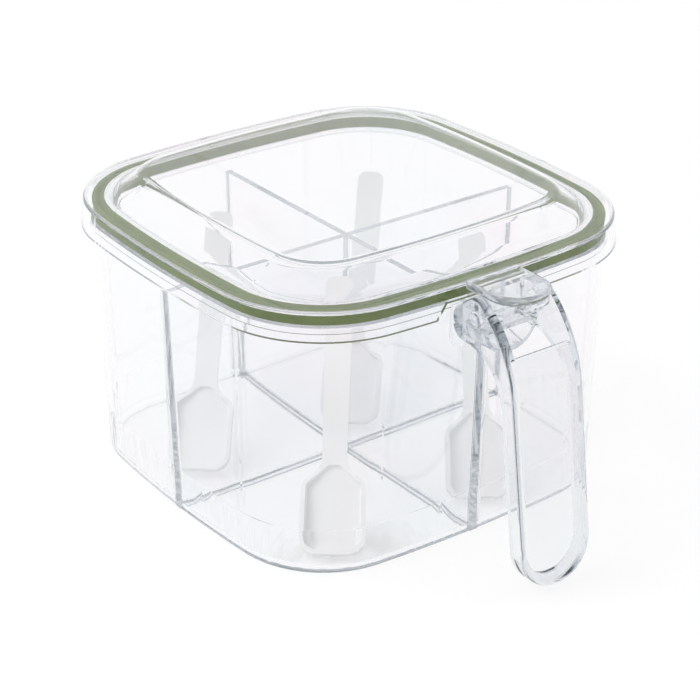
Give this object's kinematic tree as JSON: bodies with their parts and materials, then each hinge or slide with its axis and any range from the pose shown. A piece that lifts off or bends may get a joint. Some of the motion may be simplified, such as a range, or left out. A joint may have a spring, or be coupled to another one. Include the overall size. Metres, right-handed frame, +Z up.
{
  "type": "food storage box",
  "caption": "Clear rounded-square food storage box with cross partition, hinged sealed lid opened by a thumb tab, curved handle and a loose spoon in each compartment.",
  "frame": {"origin": "centre of the box's flat bottom, on the surface that it stands on", "axes": "+Z up, -Y towards the handle, +X to the right when the handle faces the viewer"},
  "size_m": [0.1614, 0.1988, 0.1077],
  "materials": {
    "clear_box": "clear polished",
    "clear_lid": "clear polished",
    "clear_handle": "clear polished",
    "green_seal": "satin silicone",
    "white_spoon": "satin"
  },
  "bodies": {
    "base": {"box_body": "clear_box", "handle": "clear_handle", "hinge_pin_left": "clear_handle", "hinge_pin_right": "clear_handle"},
    "lid": {"lid": "clear_lid", "gasket": "green_seal"},
    "spoon_front": {"spoon_front": "white_spoon"},
    "spoon_left": {"spoon_left": "white_spoon"},
    "spoon_back": {"spoon_back": "white_spoon"},
    "spoon_right": {"spoon_right": "white_spoon"}
  },
  "joints": [
    {"name": "lid_hinge", "type": "hinge", "parent": "base", "child": "lid", "pos_m": [0, -0.089, 0.0915], "axis": [1, 0, 0], "range_deg": [0, 80]},
    {"name": "spoon_front_lift", "type": "slide", "parent": "base", "child": "spoon_front", "axis": [0, 0, 1], "range_m": [0, 0.024]},
    {"name": "spoon_left_lift", "type": "slide", "parent": "base", "child": "spoon_left", "axis": [0, 0, 1], "range_m": [0, 0.016]},
    {"name": "spoon_back_lift", "type": "slide", "parent": "base", "child": "spoon_back", "axis": [0, 0, 1], "range_m": [0, 0.014]},
    {"name": "spoon_right_lift", "type": "slide", "parent": "base", "child": "spoon_right", "axis": [0, 0, 1], "range_m": [0, 0.024]}
  ]
}
